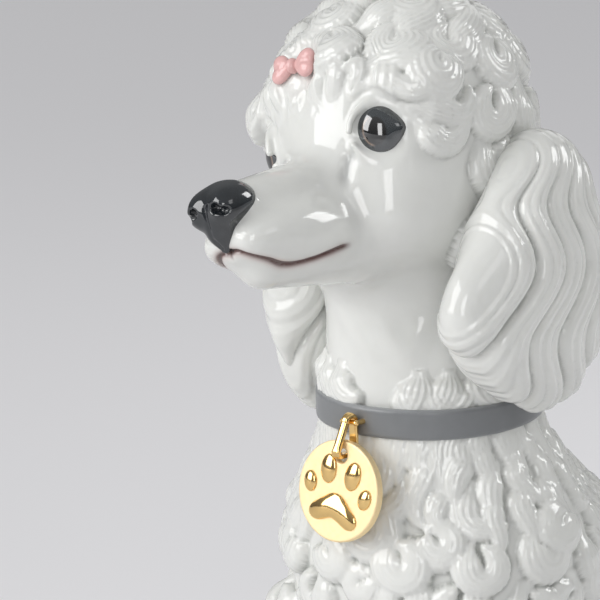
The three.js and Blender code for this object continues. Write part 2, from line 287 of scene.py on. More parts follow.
BLOCK = 4  # grid steps along one side of a block
BLOCKS_AT_ONCE = 4000
BAND_CELLS = 3  # how far from the surface the grid holds real values


def lattice(counts):
    """Every place on a grid of whole numbers."""
    return np.stack(np.meshgrid(*map(np.arange, counts), indexing="ij"), -1).reshape(-1, 3)


def sample(field, low, counts, cell):
    """The field on a grid. Blocks that the surface doesn't reach only get its sign."""
    blocks = -(-counts // BLOCK)
    corners = lattice(blocks) * BLOCK
    rough = field(low + (corners + (BLOCK - 1) / 2) * cell)
    values = np.repeat(np.sign(rough) * BAND_CELLS * cell, BLOCK**3).reshape(-1, BLOCK**3)
    near = np.flatnonzero(np.abs(rough) < (BLOCK + 2) * cell)
    steps = lattice([BLOCK] * 3)
    for some in np.array_split(near, len(near) // BLOCKS_AT_ONCE + 1):
        places = low + (corners[some][:, None] + steps[None]).reshape(-1, 3) * cell
        values[some] = field(places).reshape(len(some), -1)
    values = values.reshape(*blocks, BLOCK, BLOCK, BLOCK).transpose(0, 3, 1, 4, 2, 5)
    values = values.reshape(blocks * BLOCK)
    return np.clip(values, -BAND_CELLS * cell, BAND_CELLS * cell).astype(np.float32)


def skin(field, low, high, cell):
    """Quads over the field's surface inside the box from low to high."""
    low = np.asarray(low, float)
    counts = np.ceil((np.asarray(high, float) - low) / cell).astype(int) + 1
    grid = openvdb.FloatGrid(BAND_CELLS * cell)
    grid.copyFromArray(np.ascontiguousarray(sample(field, low, counts, cell)))
    points, _, quads = grid.convertToPolygons(0.0, 0.0)
    points = points.astype(float) * cell + low
    quads = quads.astype(int)
    corners = points[quads]
    area = np.cross(corners[:, 2] - corners[:, 0], corners[:, 3] - corners[:, 1])
    if (area * corners[:, 0]).sum() < 0:
        quads = quads[:, ::-1]
    return points, quads


def make_mesh(name, points, faces):
    mesh = bpy.data.meshes.new(name)
    sides = faces.shape[1]
    mesh.vertices.add(len(points))
    mesh.vertices.foreach_set("co", points.astype(np.float32).ravel())
    mesh.loops.add(faces.size)
    mesh.loops.foreach_set("vertex_index", faces.astype(np.int32).ravel())
    mesh.polygons.add(len(faces))
    mesh.polygons.foreach_set("loop_start", np.arange(0, faces.size, sides, dtype=np.int32))
    mesh.polygons.foreach_set("loop_total", np.full(len(faces), sides, np.int32))
    mesh.polygons.foreach_set("use_smooth", np.ones(len(faces), bool))
    mesh.update(calc_edges=True)
    return mesh


def subdivide(points, quads):
    """One round of smooth subdivision."""
    thing = bpy.data.objects.new("work", make_mesh("work", points, quads))
    bpy.context.scene.collection.objects.link(thing)
    modifier = thing.modifiers.new("finer", "SUBSURF")
    modifier.levels = 1
    finer = thing.evaluated_get(bpy.context.evaluated_depsgraph_get()).to_mesh()
    points = np.empty(len(finer.vertices) * 3, np.float32)
    finer.vertices.foreach_get("co", points)
    quads = np.empty(len(finer.loops), np.int32)
    finer.loops.foreach_get("vertex_index", quads)
    bpy.data.objects.remove(thing)
    return points.reshape(-1, 3).astype(float), quads.reshape(-1, 4).astype(int)


def settle(field, points, rounds=2):
    """Moves points onto the field's surface."""
    for _ in range(rounds):
        normals = slope_of(field, points)
        points = points - normals * np.clip(field(points), -0.5, 0.5)[:, None]
    return points


def neighbours(quads, count):
    """Pairs of points joined by an edge, and how many each point has."""
    pairs = np.concatenate([quads[:, [i, (i + 1) % 4]] for i in range(4)])
    pairs = np.unique(np.sort(pairs, 1), axis=0)
    return pairs, np.bincount(pairs.ravel(), minlength=count)


def soften(values, pairs, degree, rounds):
    """Moves each point's value half way to the mean of its neighbours', in each round."""
    for _ in range(rounds):
        total = np.zeros_like(values)
        for here, there in (pairs.T, pairs.T[::-1]):
            total += np.bincount(here, values[there], len(values))
        values = values + 0.5 * (total / degree - values)
    return values


# --- Lines drawn on a skin ---

PATH_DIVISIONS = 6  # how many points a smooth path has for each corner
LINE_ROUNDS = 12  # each brings a line's points up to half a millimetre nearer to the skin


def ramp(value, start, end):
    share = np.clip((value - start) / (end - start), 0, 1)
    return share * share * (3 - 2 * share)


def path_distance(points, path):
    """How far points lie from a line with corners, and how far along the line that is, from 0 to 1."""
    path = np.asarray(path, float)
    best = np.full(len(points), 1e9)
    share = np.zeros(len(points))
    for i in range(len(path) - 1):
        along = path[i + 1] - path[i]
        t = np.clip((points - path[i]) @ along / (along @ along), 0, 1)
        gap = np.linalg.norm(points - path[i] - t[:, None] * along, axis=1)
        closer = gap < best
        best = np.where(closer, gap, best)
        share = np.where(closer, (i + t) / (len(path) - 1), share)
    return best, share


def smooth_path(corners):
    """A rounder line through the same corners."""
    corners = np.asarray(corners, float)
    ends = np.concatenate([[2 * corners[0] - corners[1]], corners, [2 * corners[-1] - corners[-2]]])
    line = []
    for a, b, c, d in zip(ends, ends[1:], ends[2:], ends[3:]):
        for t in np.arange(PATH_DIVISIONS) / PATH_DIVISIONS:
            line.append(0.5 * (2 * b + (c - a) * t + (2 * a - 5 * b + 4 * c - d) * t**2
                               + (3 * b - a - 3 * c + d) * t**3))
    return np.array(line + [corners[-1]])


def tube(path, radius):
    path = np.asarray(path, float)
    middle = path.mean(0)
    reach = np.linalg.norm(path - middle, axis=1).max() + radius

    def field(points):
        value = np.linalg.norm(points - middle, axis=1) - reach
        near = value < 8
        value[near] = path_distance(points[near], path)[0] - radius
        return value

    return field


def drawn(field, path):
    """A line brought down to a skin."""
    return settle(field, np.asarray(path, float), LINE_ROUNDS)


def line_strength(points, path, width, fade=0.12):
    """1 on the line, fading to 0 beside it and towards its ends."""
    gap, share = path_distance(points, path)
    return np.exp(-((gap / width) ** 2)) * ramp(share, -0.01, fade) * ramp(1 - share, -0.01, fade)


def stain(paint, strength, color):
    paint += (vec(*color) - paint) * np.clip(strength, 0, 1)[:, None]


# --- Locks of hair, laid over a skin ---

PATH_STEPS = 30
ROOTED = 0.35  # the share of a lock's length over which it rises from its root
SCATTER_TRIES = 9000


def comb(field, seeds, flow, length, swing):
    """Paths along the skin. swing gives each lock's angle off the flow, at each step, in radians."""
    point = settle(field, seeds, 4)
    paths = []
    for i in range(PATH_STEPS):
        normal = slope_of(field, point)
        point = point - normal * np.clip(field(point), -2, 2)[:, None]
        heading = flow(point)
        heading = heading - (heading * normal).sum(1)[:, None] * normal
        heading /= np.maximum(np.linalg.norm(heading, axis=1), 1e-6)[:, None]
        side = np.cross(normal, heading)
        angle = swing[:, i][:, None]
        heading = heading * np.cos(angle) + side * np.sin(angle)
        paths.append((point, heading, normal))
        point = point + heading * (length / (PATH_STEPS - 1))[:, None]
    return [np.stack(column, 1) for column in zip(*paths)]


def lay_locks(points, relief, field, seeds, flow, rng, *, length, width, height, wave=0.0,
              phase=None, curl=0.0, strands=7, depth=0.4, lift=0.4, blunt=2.5, root=0.3, fade=0.0):
    """Raises relief where locks lie. Each lock is a tapered ribbon with combed strands.

    width is half of its widest part. wave and curl are in radians off the flow. height, lift and depth
    say how far its middle stands up, how far it lies over its neighbours and how deep its strands are.
    """
    count = len(seeds)
    share = np.linspace(0, 1, PATH_STEPS)[None]
    each = lambda value: np.broadcast_to(np.asarray(value, float), (count,))
    length, width, height, curl, wave = map(each, (length, width, height, curl, wave))
    lift, strands, depth = map(each, (lift, strands, depth))
    phase = rng.uniform(0, TAU, count) if phase is None else each(phase)
    swing = wave[:, None] * np.sin(TAU * share + phase[:, None])
    swing = swing + curl[:, None] * share**1.6
    path, heading, normal = comb(field, seeds, flow, length, swing)
    warp = rng.uniform(-1, 1, (count, 3))
    for i in range(count):
        middle = path[i].mean(0)
        reach = np.sqrt(((path[i] - middle) ** 2).sum(1).max()) + width[i]
        near = np.flatnonzero(((points - middle) ** 2).sum(1) < reach**2)
        if len(near) == 0:
            continue
        offset = points[near][:, None] - path[i][None]
        nearest = (offset**2).sum(2).argmin(1)
        offset = offset[np.arange(len(near)), nearest]
        along = (offset * heading[i][nearest]).sum(1) / (length[i] / (PATH_STEPS - 1))
        t = (nearest + np.clip(along, -1, 1)) / (PATH_STEPS - 1)
        side = np.cross(normal[i][nearest], heading[i][nearest])
        across = (offset * side).sum(1)
        taper = root + (1 - root) * ramp(t, 0, ROOTED)
        taper = taper * np.clip(1 - np.clip(t, 0, 1) ** blunt, 0, 1) ** 0.6
        u = across / np.maximum(width[i] * taper, 0.05)
        inside = (np.abs(u) < 1) & (t > -0.02) & (t < 1.02)
        dome = np.sqrt(np.clip(1 - u**2, 0, 1))
        u = u + 0.10 * warp[i, 0] * np.sin(2.3 * u + warp[i, 1])
        comb_lines = 0.5 - 0.5 * np.cos(TAU * (u * 0.5 + 0.5) * strands[i] + warp[i, 2])
        rise = ramp(t, -0.02, ROOTED)
        value = height[i] * dome * (0.35 + 0.65 * rise) * (0.5 + 0.5 * taper)
        value = value * (1 - fade * ramp(t, 0.35, 1))
        value = value + lift[i] * rise * ramp(dome, 0, 0.5)
        value = value - depth[i] * comb_lines * ramp(dome, 0.05, 0.6) * ramp(t, 0, 0.15)
        value = np.where(inside, value, -1e3)
        relief[near] = -soft_min(0.3, -relief[near], -value)


def scatter(points, spacing, rng, keep):
    """Points picked from a skin, no two closer than spacing, the lowest first."""
    chosen = np.empty((0, 3))
    for index in rng.permutation(np.flatnonzero(keep))[:SCATTER_TRIES]:
        point = points[index]
        if not len(chosen) or ((chosen - point) ** 2).sum(1).min() > spacing**2:
            chosen = np.vstack([chosen, point])
    return chosen[np.argsort(chosen[:, 2])]


def curls(points, relief, field, rng, keep, spacing, *, size=1.0, height=2.2, flow=None):
    """Comma shaped curls. Where two meet, the higher one shows."""
    seeds = scatter(points, spacing, rng, keep)
    count = len(seeds)
    side = np.sign(rng.uniform(-1, 1, count) + 0.25 * np.sin(seeds[:, 2] / 5))
    lay_locks(points, relief, field, seeds, flow or down, rng,
              length=size * rng.uniform(21, 26, count), width=size * rng.uniform(4.4, 5.6, count),
              height=height, curl=side * rng.uniform(4.2, 5.6, count), phase=0, wave=-0.5 * side,
              strands=rng.integers(6, 8, count), depth=0.33, lift=rng.uniform(0.2, 1.3, count),
              root=0.5, blunt=3)


# --- Materials ---


def noise(tree, scale, detail):
    where = tree.nodes.new("ShaderNodeTexCoord")
    texture = tree.nodes.new("ShaderNodeTexNoise")
    texture.inputs["Scale"].default_value = scale
    texture.inputs["Detail"].default_value = detail
    tree.links.new(where.outputs["Object"], texture.inputs["Vector"])
    return texture.outputs["Fac"]


def bump(tree, shader, height, depth, strength):
    """Makes the surface uneven. depth is in millimetres."""
    node = tree.nodes.new("ShaderNodeBump")
    node.inputs["Strength"].default_value = strength
    node.inputs["Distance"].default_value = depth * MM
    tree.links.new(height, node.inputs["Height"])
    tree.links.new(node.outputs["Normal"], shader.inputs["Normal"])


def varied(tree, value, low, high):
    node = tree.nodes.new("ShaderNodeMapRange")
    node.inputs["From Min"].default_value = 0.3
    node.inputs["From Max"].default_value = 0.7
    node.inputs["To Min"].default_value = low
    node.inputs["To Max"].default_value = high
    tree.links.new(value, node.inputs["Value"])
    return node.outputs["Result"]


ROUGHNESS_SPREAD = 0.04


def painted(name, roughness, mottle, wave_depth=0.05, wave_scale=90.0, ior=1.5):
    """Glaze over paint: the colour comes from the piece's paint layer."""
    material, tree, shader = make_material(name)
    set_inputs(shader, IOR=ior)
    layer = tree.nodes.new("ShaderNodeAttribute")
    layer.attribute_name = "paint"
    shade = tree.nodes.new("ShaderNodeVectorMath")
    shade.operation = "SCALE"
    tree.links.new(layer.outputs["Color"], shade.inputs[0])
    tree.links.new(varied(tree, noise(tree, 260.0, 5.0), 1 - mottle, 1 + mottle), shade.inputs["Scale"])
    tree.links.new(shade.outputs[0], shader.inputs["Base Color"])
    rough = varied(tree, noise(tree, 400.0, 3.0), roughness, roughness + ROUGHNESS_SPREAD)
    tree.links.new(rough, shader.inputs["Roughness"])
    bump(tree, shader, noise(tree, wave_scale, 2.0), wave_depth, 0.5)
    return material, shader


def porcelain():
    material, shader = painted("white_glaze", 0.05, 0.012, wave_depth=0.10)
    shader.inputs["Subsurface Weight"].default_value = 0.15
    shader.inputs["Subsurface Radius"].default_value = (1.0, 0.95, 0.85)
    shader.inputs["Subsurface Scale"].default_value = 0.0016
    return material


def gold(name, color, roughness, spread, grain_scale, grain_depth, strength):
    material, tree, shader = make_material(name)
    set_inputs(shader, Metallic=1.0)
    tone = tree.nodes.new("ShaderNodeMix")
    tone.data_type = "RGBA"
    tone.inputs["A"].default_value = (*[0.92 * part for part in color], 1)
    tone.inputs["B"].default_value = (*color, 1)
    tree.links.new(noise(tree, grain_scale * 0.6, 4.0), tone.inputs["Factor"])
    tree.links.new(tone.outputs["Result"], shader.inputs["Base Color"])
    rough = varied(tree, noise(tree, grain_scale * 0.3, 3.0), roughness, roughness + spread)
    tree.links.new(rough, shader.inputs["Roughness"])
    bump(tree, shader, noise(tree, grain_scale, 4.0), grain_depth, strength)
    return material


WHITE = (0.675, 0.68, 0.655)
# Painted shade for the hollows of the relief, on white glaze; other colours get the same share darker.
CREVICE_SHADE = (0.33, 0.34, 0.315)
DARK = (0.012, 0.015, 0.018)
SLATE = (0.026, 0.032, 0.036)
PINK = (0.70, 0.42, 0.405)
GREY = (0.175, 0.182, 0.188)
WHITE_GLAZE = porcelain()
EYE_GLAZE = painted("eye_glaze", 0.04, 0.10, wave_depth=0.02, ior=2.1)[0]
NOSE_GLAZE = painted("nose_glaze", 0.07, 0.18, wave_depth=0.04, wave_scale=400.0, ior=1.8)[0]
PINK_GLAZE = painted("pink_glaze", 0.12, 0.05, wave_depth=0.05, wave_scale=300.0)[0]
GREY_GLAZE = painted("grey_glaze", 0.32, 0.035, wave_depth=0.06, wave_scale=150.0)[0]
MATT_GOLD = gold("matt_gold", (1.0, 0.83, 0.53), 0.6, 0.12, 2600.0, 0.10, 0.6)
BRIGHT_GOLD = gold("polished_gold", (0.90, 0.62, 0.26), 0.09, 0.05, 500.0, 0.05, 0.35)


def finish_piece(name, points, faces, material, body, replaced, paint):
    mesh = make_mesh(name, (points + HERE) * MM, faces)
    attribute = mesh.color_attributes.new("paint", "FLOAT_COLOR", "POINT")
    rgba = np.concatenate([paint, np.ones((len(paint), 1))], 1)
    attribute.data.foreach_set("color", rgba.astype(np.float32).ravel())
    mesh.materials.append(material)
    piece = bpy.data.objects.new(name, mesh)
    bpy.context.scene.collection.objects.link(piece)
    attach(piece, body)
    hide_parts(*replaced)
    return piece


COARSE = 1.0


def casting(name, field, low, high, cell, material=WHITE_GLAZE, dress=None,
            body="figurine", smooth=1, color=WHITE, crevice_shade=0.75):
    """A piece with a skin on the field, raised and painted by dress. Where it is dressed, its hollows
    get painted shade.
    """
    points, quads = skin(field, low, high, cell * 2)
    points, quads = subdivide(settle(field, points), quads)
    points = settle(field, points)
    normals = slope_of(field, points)
    relief = np.zeros(len(points))
    paint = np.tile(vec(*color), (len(points), 1))
    if dress is not None:
        pairs, degree = neighbours(quads, len(points))
        dress(points, normals, relief, paint)
        relief = soften(relief, pairs, degree, smooth)
        # Painted shade: hollows in the relief are painted darker, the deeper they are.
        hollow = soften(relief, pairs, degree, 10) - relief
        stain(paint, crevice_shade * ramp(hollow, 0.05, 0.7), vec(*CREVICE_SHADE) * vec(*color) / vec(*WHITE))
    # The relief fades out at the floor, so the seat and the paws stand flat.
    points = points + normals * (relief * ramp(points[:, 2], 0.3, 5))[:, None]
    points[:, 2] = np.maximum(points[:, 2], 0)
    print(name, len(quads), "faces")
    return finish_piece(name, points, quads, material, body, [name], paint)


# --- Torso and neck ---

RNG = np.random.default_rng(20)
collar_up = BAND @ vec(0, 0, 1)


def down(points):
    return np.broadcast_to(vec(0, 0, -1), points.shape)


def floor_level(points):
    return -points[:, 2]


neck = limb(COLLAR + BAND @ vec(0, 0, -9), 25.6, vec(-3, -17, 203), 23)
torso = melt(
    11,
    neck,
    ball((0, -12, 119), (39, 33, 36)),
    ball((0, 8, 94), (37, 38, 48)),
    ball((0, 26, 44), (39, 39, 50)),
)
VENT_PLACE = vec(0, 28, 0)
VENT_RADIUS = 4.0
vent = limb(VENT_PLACE - vec(0, 0, 12), VENT_RADIUS, VENT_PLACE + vec(0, 0, 5), VENT_RADIUS)


def dress_torso(points, normals, relief, paint):
    height = points[:, 2]
    side_on = normals[:, 2] > -0.9
    curls(points, relief, torso, RNG, (height < 137) & (height > 4) & side_on, 9.5, height=2.6)
    seeds = scatter(points, 6.2, RNG, (height > 139) & (height < 150))
    count = len(seeds)
    lay_locks(points, relief, torso, seeds, down, RNG,
              length=RNG.uniform(14, 21, count), width=RNG.uniform(3.4, 4.4, count), height=2.2,
              wave=0.45, phase=seeds[:, 0] / 7, curl=RNG.uniform(-2, 2, count), strands=5)
    seeds = scatter(points, 5.4, RNG, height > 150.5)
    lay_locks(points, relief, torso, seeds, down, RNG, length=13, width=3.4, height=1.5,
              wave=0.3, phase=seeds[:, 0] / 5, strands=5)


shoulders = both(torso, below(COLLAR + collar_up * 0.1, collar_up))
body_field = both(carve(0.4, shoulders, vent), floor_level)
casting("body", body_field, (-46, -55, -2), (46, 74, 162), 0.54 * COARSE, dress=dress_torso)

# --- Face ---

topknot = head_ball(-1, -25, 5, 30.5, 30.5, 29.5)
brow = head_ball(0, -6, -2, 22, 16, 17)
skull = melt(
    8,
    topknot,
    brow,
    *head_pair(12, -10, -17, 12, 18.5, 15),
    head_limb((0, 3, -11.5), 10.5, (0, 36, -12.5), 7.4),
    head_limb((0, 4, -22), 11, (0, 32, -24.4), 6.4),
)
lips = melt(
    3,
    *head_pair(5, 23.5, -19, 7.8, 19.5, 8),
    head_ball(0, 33, -18.5, 6, 10.2, 7),
)
temples = melt(3, *head_pair(20, -9, 9, 9, 9, 8), *head_pair(8, 0, 13, 8, 6, 8))


ARC_POINTS = 14


class Eye:
    """An eye's own axes: out towards its outer corner, forward out of the head, and up."""

    def __init__(self, side):
        self.axes = HEAD @ turn_about("Z", side * EYE_SPLAY)
        self.centre = on_head(side * EYE_SPREAD, 1.9, 0)
        self.side = side

    def at(self, out, forward, up):
        return self.centre + self.axes @ vec(self.side * out, -forward, up)

    def local(self, points):
        local = (points - self.centre) @ self.axes
        return local * vec(self.side, -1, 1)

    def lens(self):
        corner = limb(self.at(4.2, 0.8, -0.3), 2.6, self.at(8.2, -0.7, -0.8), 0.5)
        return melt(1.6, ball(self.at(0.5, 0.3, 0), (5.5, 4.0, 6.2), self.axes), corner)

    def arc(self, start, end, out, up, forward, droop=0.0):
        """A line around the eye. start and end are degrees from the outer corner, up and over."""
        turns = np.radians(np.linspace(start, end, ARC_POINTS))
        return [
            self.at(out * math.cos(turn), forward - droop * math.cos(turn), up * math.sin(turn))
            for turn in turns
        ]


EYES = {"left": Eye(1), "right": Eye(-1)}


def lids(eye):
    upper = tube(eye.arc(10, 170, 6.9, 6.8, 1.4, 1.8), 0.7)
    lower = tube(eye.arc(200, 345, 6.9, 6.7, 0.9, 1.8), 0.5)
    return melt(1.5, upper, lower)


nose = melt(
    2.2,
    head_ball(0, 39.4, -9.8, 7.6, 6.6, 5.4),
    *head_pair(3.6, 43.2, -10.8, 3.6, 4.3, 4.3),
    head_ball(0, 42.2, -14.6, 3.9, 4.2, 4.8),
    head_limb((0, 42.4, -17), 2.5, (0, 42.4, -20), 1.0),
)
face = melt(2.5, skull, lips)
face = melt(4, face, temples)
for eye in EYES.values():
    bowl = ball(eye.at(0, 6.2, 0), (7.4, 4.4, 7.1), eye.axes)
    face = melt(2.4, carve(3.0, face, bowl), lids(eye))
head_field = melt(14, face, neck)
head_field = both(head_field, below(COLLAR - collar_up * 0.1, -collar_up))


def mirrored(places, side):
    return [on_head(side * left, forward, up) for left, forward, up in places]


# The line between the lips, from the front to the corner: left, forward, up from the eye line.
MOUTH = (
    (-1.8, 42.4, -21.6), (0, 42.9, -21.3), (3.6, 42.3, -21.9), (7.1, 37.8, -25.2),
    (8.4, 31, -28.2), (10, 24.5, -28.2), (10.8, 18.5, -26.7), (11.2, 12.5, -25),
)
MOUTH_CORNER_POINTS = 22  # the last points of the smoothed line, where the brown is wider
PHILTRUM = ((0, 47, -9), (0, 46, -14), (0, 44.5, -18), (0, 43.2, -21))
LOWER_LIP_CREASE = ((0, 43.2, -20.5), (0.2, 43, -22), (0.5, 42.2, -24.2))
TEAR_LINE = ((13.5, 7.4, -1.5), (12, 9.3, -5), (11, 10.5, -9), (10.5, 11.5, -13))
MOUTH_BROWN = (0.11, 0.055, 0.05)
LIP_PINK = (0.42, 0.25, 0.235)
TEAR_GREY = (0.36, 0.37, 0.37)

# Locks that frame the face. Each has its root and the place that it heads for, in the head's frame,
# then its length, half width, wave, phase in turns, and curl. The other side mirrors them.
FOREHEAD_LOCKS = (
    ((1.5, 3, 19), (1.5, 8, 5), 14, 2.8, 0.25, 0.0, 0.2),
    ((5, 3, 18), (5.5, 8, 5), 14, 2.6, 0.3, 0.5, 0.2),
    ((8.5, 3, 19), (9.5, 6.5, 6), 14, 2.8, 0.35, 0.2, -0.2),
    ((13, 1, 19), (11.5, 6, 7), 14, 2.8, 0.45, 0.1, 0.3),
    ((10, -2, 23), (9, 6, 9), 15, 3.4, 0.4, 0.5, 0.2),
    ((4, -1, 23), (4, 6, 9), 13, 3.2, 0.4, 0.3, -0.3),
)
BROW_LOCKS = (
    ((21, -4, 2), (31, -24, -12), 21, 4.0, 0.6, 0.5, 1.2),
    ((21, -4, 4), (31, -20, -3), 22, 4.0, 0.7, 0.3, 1.4),
    ((12.9, 4.5, 9), (30, -13, 4), 25, 3.2, 0.75, 0.25, 0.9),
    ((13, 3.7, 13), (29, -12, 9), 25, 3.2, 0.7, 0.25, 1.2),
    ((15, 1.7, 16), (29, -13, 14), 22, 3.2, 0.6, 0.25, 1.6),
)
CROWN_LOCKS = (
    ((17, -4, 21), (27, -16, 18), 24, 4.6, 0.5, 0.2, 3.6),
    ((9, -3, 25), (18, -8, 25), 26, 4.8, 0.4, 0.2, 4.2),
    ((26, -14, 18), (31, -28, 12), 26, 4.6, 0.4, 0.1, 4.4),
    ((20, -14, 28), (26, -24, 24), 26, 4.8, 0.4, 0.3, 4.4),
    ((1, -6, 29), (8, -10, 32), 26, 5.0, 0.4, 0.2, 4.2),
)


def lay_named(points, relief, locks, side, height, strands, depth=0.4, fade=0.0):
    for root, aim_place, length, width, wave, turn, curl in locks:
        (seed, target) = mirrored((root, aim_place), side)
        heading = (target - seed) / np.linalg.norm(target - seed)
        lay_locks(points, relief, head_field, seed[None],
                  lambda where: np.broadcast_to(heading, where.shape), RNG,
                  length=length, width=width, height=height, wave=side * wave, phase=turn * TAU,
                  curl=side * curl, strands=strands, depth=depth, lift=0.6 * (1 - fade),
                  blunt=3.0 - 1.4 * fade, fade=fade)


# Scalloped curls over the collar, except at the throat. Angles go round from the front.
SCALLOP_STEP = 17.0
SCALLOP_GAP = math.radians(18)
NECK_RADIUS = 26
THROAT_RADIUS = 25

# Soft folds down the throat: how far left they start and end, in degrees round the neck, and thickness
THROAT_FOLDS = ((-25, 10, 0.7), (0, 32, 0.8), (38, 22, 0.7), (56, 48, 0.8))


def on_throat(degrees, height):
    turn = math.radians(degrees)
    return vec(THROAT_RADIUS * math.sin(turn), COLLAR[1] - THROAT_RADIUS * math.cos(turn), height)


BOW_CENTRE = on_head(-3, 5, 19.5)


def dress_head(points, normals, relief, paint):
    left, forward, up = head_axes(points)
    clear_of_eyes = np.minimum(*[np.linalg.norm(points - eye.centre, axis=1) for eye in EYES.values()])
    forehead = (np.abs(left) < 15) & (forward > -4) & (up < 22)
    hairline = 9 - 0.9 * np.clip(-forward - 4, 0, 20)
    hairy = (forward < 3) & (up > hairline) & (clear_of_eyes > 12) & ~forehead
    over_eyes = (np.abs(left) > 11) & (forward > -20) & (up < 17) & (up > -6)
    down_head = lambda where: np.broadcast_to(HEAD @ vec(0, 0, -1), where.shape)
    curls(points, relief, head_field, RNG, hairy & ~over_eyes | (forward < -22) & (up > -24), 10,
          size=1.12, height=2.4, flow=down_head)
    open_face = (1 - ramp(up, 14, 18)) * (1 - ramp(np.abs(left), 14, 19)) * ramp(forward, -8, -2)
    relief *= 1 - open_face
    for side in (-1, 1):
        lay_named(points, relief, CROWN_LOCKS, side, 2.8, 8)
        lay_named(points, relief, BROW_LOCKS, side, 2.2, 6)
        lay_named(points, relief, FOREHEAD_LOCKS, side, 1.9, 3, 0.25, 1.0)
    relief *= ramp(clear_of_eyes, 7.6, 10.5)
    relief *= 0.15 + 0.85 * ramp(np.linalg.norm(points - BOW_CENTRE, axis=1), 5.5, 9)
    for height, spread in ((12.6, 0.0), (9.4, 0.5)):
        turns = np.radians(SCALLOP_STEP * (np.arange(360 / SCALLOP_STEP) + spread))
        turns = turns[np.cos(turns) < math.cos(SCALLOP_GAP)]
        round_neck = np.stack([np.sin(turns), -np.cos(turns), np.zeros(len(turns))], 1)
        seeds = COLLAR + NECK_RADIUS * round_neck @ BAND.T
        count = len(seeds)
        lay_locks(points, relief, head_field, seeds + collar_up * height, down, RNG,
                  length=RNG.uniform(8.5, 10.5, count) + height - 9.4, width=RNG.uniform(4, 4.8, count),
                  height=2.3, curl=RNG.choice([-1, 1], count) * RNG.uniform(1, 3, count),
                  strands=6, blunt=4, root=0.4, lift=RNG.uniform(0.1, 0.8, count))
    for left_start, left_end, thickness in THROAT_FOLDS:
        left_middle = (left_start + left_end) / 2
        fold = [on_throat(left_start, 184), on_throat(left_middle, 176), on_throat(left_end, 166)]
        relief += thickness * line_strength(points, drawn(head_field, fold), 3.0, 0.5)
    for side in (-1, 1):
        mouth = drawn(head_field, smooth_path(mirrored(MOUTH, side)))
        line = line_strength(points, mouth, 0.62, 0.08)
        relief -= 0.9 * line + 0.25 * line_strength(points, mouth, 1.8, 0.1)
        stain(paint, 0.55 * line_strength(points, mouth, 1.3, 0.15), LIP_PINK)
        stain(paint, 1.5 * line, MOUTH_BROWN)
        stain(paint, 0.75 * line_strength(points, mouth[-MOUTH_CORNER_POINTS:], 0.85, 0.45), MOUTH_BROWN)
        tear = drawn(head_field, smooth_path(mirrored(TEAR_LINE, side)))
        relief -= 0.9 * line_strength(points, tear, 1.5, 0.35)
        stain(paint, 0.5 * line_strength(points, tear, 0.9, 0.4), TEAR_GREY)
    crease = drawn(head_field, smooth_path(mirrored(LOWER_LIP_CREASE, 1)))
    relief -= 0.25 * line_strength(points, crease, 0.45, 0.4)
    stain(paint, 0.7 * line_strength(points, crease, 0.4, 0.4), MOUTH_BROWN)
    for eye in EYES.values():
        fold = drawn(head_field, eye.arc(20, 165, 9.6, 9.4, 0.5, 1.5))
        relief -= 0.35 * line_strength(points, fold, 0.9, 0.3)


casting("head", head_field, (-44, -98, 150), (36, 18, 268), 0.40 * COARSE, dress=dress_head)


def dress_nose(points, normals, relief, paint):
    left, forward, up = head_axes(points)
    philtrum = drawn(nose_field, mirrored(PHILTRUM, 1))
    relief -= 0.4 * line_strength(points, philtrum, 0.5, 0.1)
    pale = ramp(np.abs(left) - 0.5 * (forward - 38), 4.5, 8) + 0.6 * ramp(up, -7, -4)
    stain(paint, 0.8 * pale, SLATE)


nose_field = nose
for side in (-1, 1):
    nostril = head_ball(side * 3.7, 47.2, -10.7, 1.35, 2.4, 1.2)
    wing = head_ball(side * 5.6, 46.4, -11.6, 1.5, 1.7, 0.85)
    nose_field = carve(0.7, nose_field, melt(0.8, nostril, wing))
nose_middle = on_head(0, 42, -12)
casting("nose", nose_field, nose_middle - 14, nose_middle + 14, 0.2, NOSE_GLAZE,
        dress_nose, color=DARK, crevice_shade=0)

PUPIL_RADIUS = 3.3
IRIS_BROWN = (0.24, 0.17, 0.13)


def dress_eye(eye):
    def dress(points, normals, relief, paint):
        local = eye.local(points)
        front = local[:, 1] > 0
        reach = np.hypot((local[:, 0] + 0.9) / 0.8, local[:, 2])
        crescent = np.exp(-(((reach - PUPIL_RADIUS - 0.15) / 0.22) ** 2)) * (local[:, 0] < -1.2) * front
        paint[(reach < PUPIL_RADIUS) & front] = (0.004, 0.004, 0.004)
        stain(paint, 0.9 * crescent * ramp(-local[:, 0], 1.2, 2.4), IRIS_BROWN)
        edge = np.hypot(local[:, 0], local[:, 2])
        stain(paint, 0.7 * ramp(edge, 4.6, 6.2), DARK)
    return dress


for name, eye in EYES.items():
    casting("eye_" + name, eye.lens(), eye.centre - 11, eye.centre + 11, 0.24, EYE_GLAZE,
            dress_eye(eye), smooth=0, color=SLATE, crevice_shade=0)

# --- Ears ---

left_ear = melt(
    10,
    ball((30, -13, 213), (7.6, 9.6, 11.6)),
    ball((32, -17, 200), (7.8, 17.6, 20.6)),
    ball((33.5, -24, 181), (8, 26, 22.5)),
)
left_ear = both(left_ear, below(vec(33, -30.5, 167.6), vec(0, -0.6, -0.8)), 6)
right_ear = melt(
    10,
    ball((-31.5, -20, 210), (6.8, 9.6, 11.6)),
    ball((-33, -16, 190), (7.2, 15.6, 20.6)),
    ball((-32, -12, 170), (7.2, 21, 20)),
)
EAR_WAVE = 33.0  # millimetres down from one crest of the waves to the next
EAR_LOCKS = 4  # broad locks across an ear
LOCK_STRANDS = 3
FINE_STRANDS = 9
LOCK_OFFSET = 0.33  # puts the first deep channel behind the front lock
FRONT_LOCK = -1.85  # forward of this place the front lock keeps its height, round the ear's edge
LOCK_HEIGHTS = vec(1.6, 2.6, 2.9, 2.4, 3.0)


